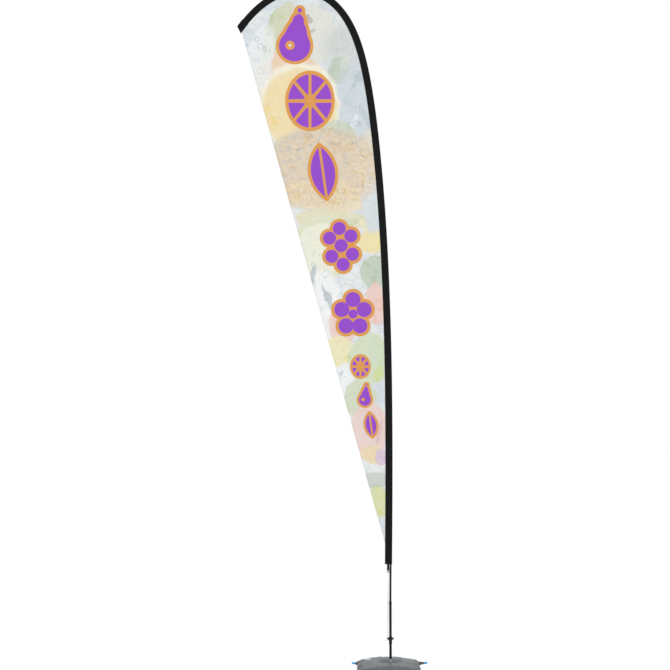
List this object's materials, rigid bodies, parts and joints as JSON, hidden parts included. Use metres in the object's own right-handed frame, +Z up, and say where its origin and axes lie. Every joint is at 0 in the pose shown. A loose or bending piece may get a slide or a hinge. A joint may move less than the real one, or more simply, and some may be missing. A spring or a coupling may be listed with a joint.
{
  "type": "teardrop flag",
  "caption": "Teardrop flag on a hooked mast in a black sleeve, turning on a ball-bearing spindle above a folding cross base and a square water weight bag.",
  "frame": {"origin": "on the ground under the mast: centre of the centre pad's underside", "axes": "+Z up along the spindle; the flag lies in the XZ plane and its mast hooks over towards -X"},
  "size_m": [1.4114, 0.904, 4.5465],
  "materials": {
    "powder_coated_steel": "black powder coat",
    "foot_rubber": "matt black rubber",
    "zinc_hardware": "zinc plated",
    "nylon_washer": "white nylon",
    "bearing_steel": "ground bearing steel",
    "cage_brass": "pressed brass",
    "machined_aluminium": "turned, bare",
    "anodised_tube": "black anodised",
    "glass_fibre": "black pultruded fibre, satin",
    "blackened_steel": "blackened",
    "tip_plastic": "moulded, matt",
    "black_sleeve_cloth": "black stretch cloth",
    "printed_polyester": "dye-sublimated pastel print on knitted polyester",
    "black_webbing": "black woven webbing",
    "nickel_eyelet": "nickel plated",
    "collar_plastic": "black nylon, moulded",
    "white_elastic": "white braided elastic",
    "grey_pvc_film": "grey coated film, satin",
    "blank_label": "blank white film",
    "dark_pvc": "dark grey soft plastic",
    "blue_cap": "bright blue, moulded",
    "seal_rubber": "black seal"
  },
  "bodies": {
    "base": {"fixed_bar": "powder_coated_steel", "foot_left": "foot_rubber", "foot_right": "foot_rubber", "centre_pad": "foot_rubber", "pivot_bolt": "zinc_hardware", "bar_washer": "nylon_washer", "spring_washer": "zinc_hardware", "clamp_nut": "zinc_hardware", "axle_nut": "zinc_hardware", "shim_ring": "bearing_steel", "inner_spacer": "machined_aluminium", "inner_ring_lower": "bearing_steel", "inner_ring_upper": "bearing_steel"},
    "swing": {"swing_bar": "powder_coated_steel", "foot_front": "foot_rubber", "foot_back": "foot_rubber"},
    "cage_lower": {"ball_cage_lower": "cage_brass"},
    "cage_upper": {"ball_cage_upper": "cage_brass"},
    "spindle": {"outer_ring_lower": "bearing_steel", "outer_ring_upper": "bearing_steel", "outer_spacer": "machined_aluminium", "retaining_ring": "bearing_steel", "spindle_hub": "machined_aluminium", "spindle_rod": "bearing_steel"},
    "mast": {"foot_tube": "anodised_tube", "band_1": "blackened_steel", "band_2": "blackened_steel", "band_3": "blackened_steel", "band_4": "blackened_steel", "pole_2": "glass_fibre", "pole_3": "glass_fibre", "pole_4": "glass_fibre", "pole_5": "glass_fibre", "tip_cap": "tip_plastic", "pole_sleeve": "black_sleeve_cloth", "tip_pocket": "black_sleeve_cloth", "flag_panel": "printed_polyester", "tail_tab": "black_webbing", "tail_eyelet": "nickel_eyelet"},
    "collar": {"tension_collar": "collar_plastic", "cord_knot": "white_elastic", "tension_cord": "white_elastic"},
    "bag": {"water_bag": "grey_pvc_film", "bag_label": "blank_label", "filler_boot_left": "dark_pvc", "filler_boot_right": "dark_pvc"},
    "cap_seal_left": {"cap_seal_left": "seal_rubber"},
    "cap_left": {"filler_cap_left": "blue_cap"},
    "cap_seal_right": {"cap_seal_right": "seal_rubber"},
    "cap_right": {"filler_cap_right": "blue_cap"}
  },
  "joints": [
    {"name": "bar_fold", "type": "hinge", "parent": "base", "child": "swing", "pos_m": [0, 0, 0.0169], "axis": [0, 0, 1], "range_deg": [0, 90]},
    {"name": "flag_spin", "type": "hinge", "parent": "base", "child": "spindle", "pos_m": [0, 0, 0.0301], "axis": [0, 0, 1], "continuous": true},
    {"name": "cage_lower_spin", "type": "hinge", "parent": "base", "child": "cage_lower", "pos_m": [0, 0, 0.0341], "axis": [0, 0, 1], "continuous": true},
    {"name": "cage_upper_spin", "type": "hinge", "parent": "base", "child": "cage_upper", "pos_m": [0, 0, 0.0547], "axis": [0, 0, 1], "continuous": true},
    {"name": "mast_lift", "type": "slide", "parent": "spindle", "child": "mast", "axis": [0, 0, 1], "range_m": [0, 0.11]},
    {"name": "collar_slide", "type": "slide", "parent": "mast", "child": "collar", "axis": [0, 0, 1], "range_m": [-0.085, 0.195], "deforming": ["tension_cord"]},
    {"name": "bag_lift", "type": "slide", "parent": "base", "child": "bag", "axis": [0, 0, 1], "range_m": [0, 0.095]},
    {"name": "cap_left_run", "type": "slide", "parent": "bag", "child": "cap_seal_left", "axis": [-0.9239, 0.3827, 0], "range_m": [0, 0.006]},
    {"name": "cap_left_turn", "type": "hinge", "parent": "cap_seal_left", "child": "cap_left", "pos_m": [-0.20771, 0.16308, 0.0675], "axis": [-0.9239, 0.3827, 0], "range_deg": [0, 720]},
    {"name": "cap_right_run", "type": "slide", "parent": "bag", "child": "cap_seal_right", "axis": [0.9239, 0.3827, 0], "range_m": [0, 0.006]},
    {"name": "cap_right_turn", "type": "hinge", "parent": "cap_seal_right", "child": "cap_right", "pos_m": [0.18371, 0.16308, 0.0675], "axis": [0.9239, 0.3827, 0], "range_deg": [0, 720]}
  ],
  "couplings": [
    {"joint": "cage_lower_spin", "follows": "flag_spin", "ratio": 0.601},
    {"joint": "cage_upper_spin", "follows": "flag_spin", "ratio": 0.601},
    {"joint": "cap_left_turn", "follows": "cap_left_run", "rad_per_m": 2094.4},
    {"joint": "cap_right_turn", "follows": "cap_right_run", "rad_per_m": 2094.4}
  ]
}
